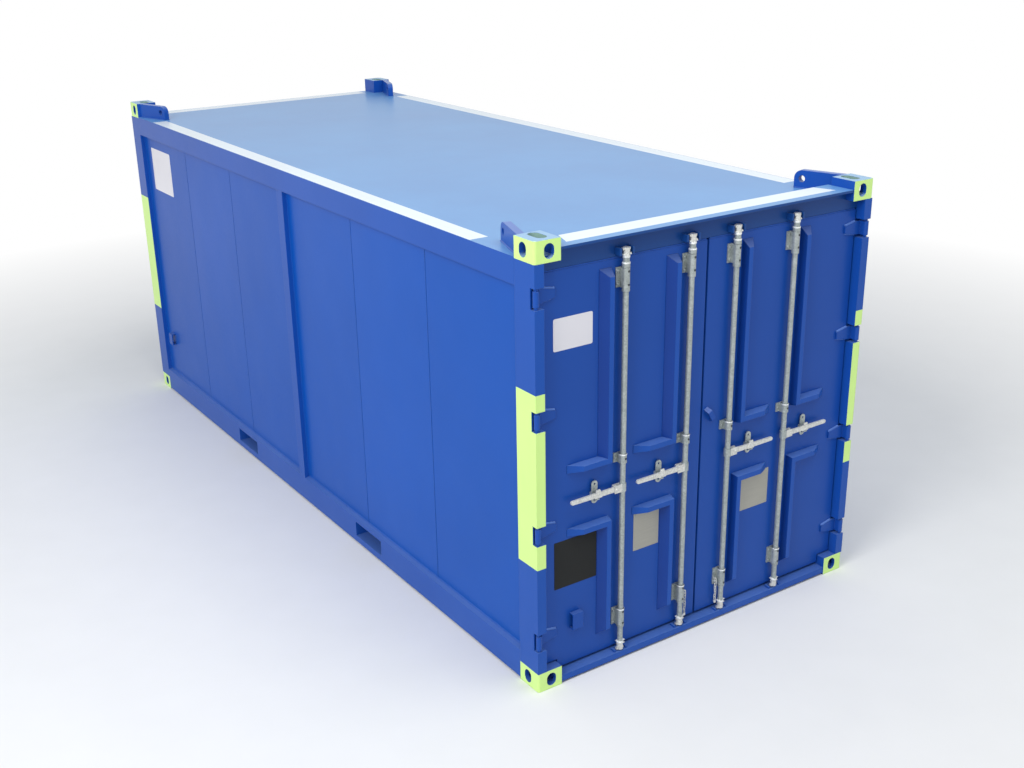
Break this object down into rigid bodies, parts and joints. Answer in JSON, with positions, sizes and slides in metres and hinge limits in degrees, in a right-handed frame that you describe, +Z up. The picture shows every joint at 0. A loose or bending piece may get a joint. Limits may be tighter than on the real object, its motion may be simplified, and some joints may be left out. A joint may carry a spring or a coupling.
{
  "type": "shipping container",
  "caption": "Closed steel cargo box on corner castings, with lifting eyes, fork pockets and double end doors locked by upright rods.",
  "frame": {"origin": "on the ground, under the middle of the box", "axes": "+X across the box towards the right door, +Y along the box away from the doors, +Z up"},
  "size_m": [2.438, 6.058, 2.591],
  "materials": {
    "blue_paint": "gloss",
    "lime_paint": "gloss",
    "zinc": "galvanised",
    "plywood": "sealed",
    "rubber": "matte"
  },
  "bodies": {
    "frame": {"top_corner_castings": "lime_paint", "bottom_corner_castings": "lime_paint", "lifting_eyes": "blue_paint", "door_posts": "blue_paint", "rear_corner_posts": "blue_paint", "mid_side_posts": "blue_paint", "top_side_rails": "blue_paint", "bottom_side_rails": "blue_paint", "rear_top_rail": "blue_paint", "rear_bottom_rail": "blue_paint", "door_header": "blue_paint", "door_sill": "blue_paint", "left_side_wall": "blue_paint", "right_side_wall": "blue_paint", "end_wall": "blue_paint", "roof_sheet": "blue_paint", "floor_boards": "plywood", "floor_cross_members": "blue_paint", "fork_pockets": "blue_paint", "header_keepers": "blue_paint", "sill_keepers": "blue_paint", "hinge_pins": "blue_paint", "side_rope_eyes": "blue_paint"},
    "left_door": {"left_door_leaf": "blue_paint", "left_door_gasket": "rubber", "left_door_ridges": "blue_paint", "left_door_hinges": "blue_paint", "left_door_bearings": "zinc", "left_door_catches": "zinc", "left_door_rope_eye": "blue_paint"},
    "right_door": {"right_door_leaf": "blue_paint", "right_door_gasket": "rubber", "right_door_ridges": "blue_paint", "right_door_hinges": "blue_paint", "right_door_bearings": "zinc", "right_door_catches": "zinc", "right_door_hand_hold": "blue_paint"},
    "lock_rod_1": {"lock_rod_1": "zinc"},
    "lock_rod_2": {"lock_rod_2": "zinc"},
    "lock_rod_3": {"lock_rod_3": "zinc"},
    "lock_rod_4": {"lock_rod_4": "zinc"},
    "lock_handle_1": {"lock_handle_1": "zinc"},
    "lock_handle_2": {"lock_handle_2": "zinc"},
    "lock_handle_3": {"lock_handle_3": "zinc"},
    "lock_handle_4": {"lock_handle_4": "zinc"}
  },
  "joints": [
    {"name": "left_door_swing", "type": "hinge", "parent": "frame", "child": "left_door", "pos_m": [-1.2, -3.012, 1.303], "axis": [0, 0, -1], "range_deg": [0, 260]},
    {"name": "right_door_swing", "type": "hinge", "parent": "frame", "child": "right_door", "pos_m": [1.2, -3.012, 1.303], "axis": [0, 0, 1], "range_deg": [0, 260]},
    {"name": "lock_rod_1_turn", "type": "hinge", "parent": "left_door", "child": "lock_rod_1", "pos_m": [-0.622, -3.006, 1.2635], "axis": [0, 0, -1], "range_deg": [-95, 0]},
    {"name": "lock_rod_2_turn", "type": "hinge", "parent": "left_door", "child": "lock_rod_2", "pos_m": [-0.165, -3.006, 1.2635], "axis": [0, 0, -1], "range_deg": [-95, 0]},
    {"name": "lock_rod_3_turn", "type": "hinge", "parent": "right_door", "child": "lock_rod_3", "pos_m": [0.165, -3.006, 1.2635], "axis": [0, 0, 1], "range_deg": [-95, 0]},
    {"name": "lock_rod_4_turn", "type": "hinge", "parent": "right_door", "child": "lock_rod_4", "pos_m": [0.622, -3.006, 1.2635], "axis": [0, 0, 1], "range_deg": [-95, 0]},
    {"name": "lock_handle_1_lift", "type": "hinge", "parent": "lock_rod_1", "child": "lock_handle_1", "pos_m": [-0.672, -3.01, 1.102], "axis": [0, 1, 0], "range_deg": [0, 20]},
    {"name": "lock_handle_2_lift", "type": "hinge", "parent": "lock_rod_2", "child": "lock_handle_2", "pos_m": [-0.215, -3.01, 1.102], "axis": [0, 1, 0], "range_deg": [0, 20]},
    {"name": "lock_handle_3_lift", "type": "hinge", "parent": "lock_rod_3", "child": "lock_handle_3", "pos_m": [0.215, -3.01, 1.102], "axis": [0, -1, 0], "range_deg": [0, 20]},
    {"name": "lock_handle_4_lift", "type": "hinge", "parent": "lock_rod_4", "child": "lock_handle_4", "pos_m": [0.672, -3.01, 1.102], "axis": [0, -1, 0], "range_deg": [0, 20]}
  ]
}
